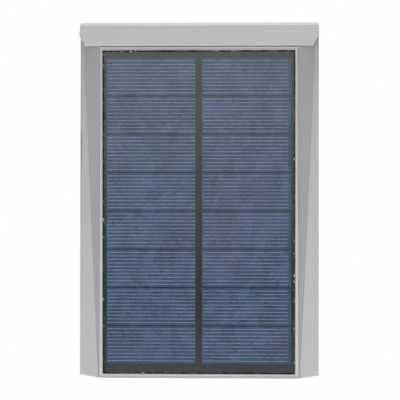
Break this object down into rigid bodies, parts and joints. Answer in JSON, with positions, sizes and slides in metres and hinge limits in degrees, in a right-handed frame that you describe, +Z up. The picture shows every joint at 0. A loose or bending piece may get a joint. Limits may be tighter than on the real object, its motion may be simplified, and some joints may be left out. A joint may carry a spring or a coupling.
{
  "type": "solar motion sensor light",
  "caption": "Wedge-shaped solar wall light with a tilted solar panel on top and, underneath, an LED window, motion sensor dome and mode button, hung on a wall plate.",
  "frame": {"origin": "centre of the four wall screw holes, on the wall plane at the back of the wall plate", "axes": "+Z up the wall, the lamp stands out from the wall towards -Y, +X to the right seen from the front"},
  "size_m": [0.1398, 0.203, 0.1012],
  "materials": {
    "plate_grey": "light grey powder coat",
    "housing_silver": "satin silver-grey",
    "seal_black": "soft matte",
    "bond_black": "adhesive",
    "backboard_black": "dark laminate",
    "cell_blue": "polycrystalline silicon with printed fingers",
    "resin_clear": "clear laminate",
    "screw_steel": "zinc plated",
    "lens_clear": "clear ribbed polycarbonate",
    "reflector_white": "glossy white",
    "led_board_white": "white solder mask on aluminium",
    "led_yellow": "phosphor yellow",
    "dome_white": "milky translucent",
    "retainer_black": "satin black",
    "sensor_can": "nickel plated",
    "board_green": "green solder mask",
    "chip_black": "matte black moulding",
    "capacitor_sleeve": "dark sleeve",
    "socket_white": "ivory nylon",
    "button_grey": "soft matte",
    "pipe_clear": "clear acrylic",
    "led_red": "red epoxy",
    "battery_wrap": "shrink-wrapped cell",
    "contact_nickel": "nickel plated",
    "lead_insulation": "soft insulation"
  },
  "bodies": {
    "wall": {"wall_plate": "plate_grey"},
    "lamp": {"top_cover": "housing_silver", "bottom_housing": "housing_silver", "housing_gasket": "seal_black", "lens_gasket": "seal_black", "panel_bond": "bond_black", "panel_backboard": "backboard_black", "solar_cells": "cell_blue", "panel_resin": "resin_clear", "housing_screws": "screw_steel", "board_screws": "screw_steel", "light_lens": "lens_clear", "led_reflector": "reflector_white", "led_board": "led_board_white", "leds": "led_yellow", "pir_lens": "dome_white", "pir_retainer": "retainer_black", "pir_sensor": "sensor_can", "control_board": "board_green", "control_chips": "chip_black", "capacitors": "capacitor_sleeve", "inductor": "chip_black", "board_sockets": "socket_white", "switch_body": "chip_black", "indicator_pipe": "pipe_clear", "indicator_led": "led_red", "battery_holder": "retainer_black", "battery_cells": "battery_wrap", "battery_contacts": "contact_nickel", "battery_strap": "retainer_black", "panel_leads": "lead_insulation", "battery_leads": "lead_insulation", "led_leads": "lead_insulation"},
    "button": {"mode_button": "button_grey", "switch_plunger": "retainer_black"}
  },
  "joints": [
    {"name": "lift_off", "type": "slide", "parent": "wall", "child": "lamp", "axis": [0, 0, 1], "range_m": [0, 0.008]},
    {"name": "mode_press", "type": "slide", "parent": "lamp", "child": "button", "axis": [0, 0.1478, 0.989], "range_m": [0, 0.0006], "stiffness_N_per_m": 1500}
  ]
}
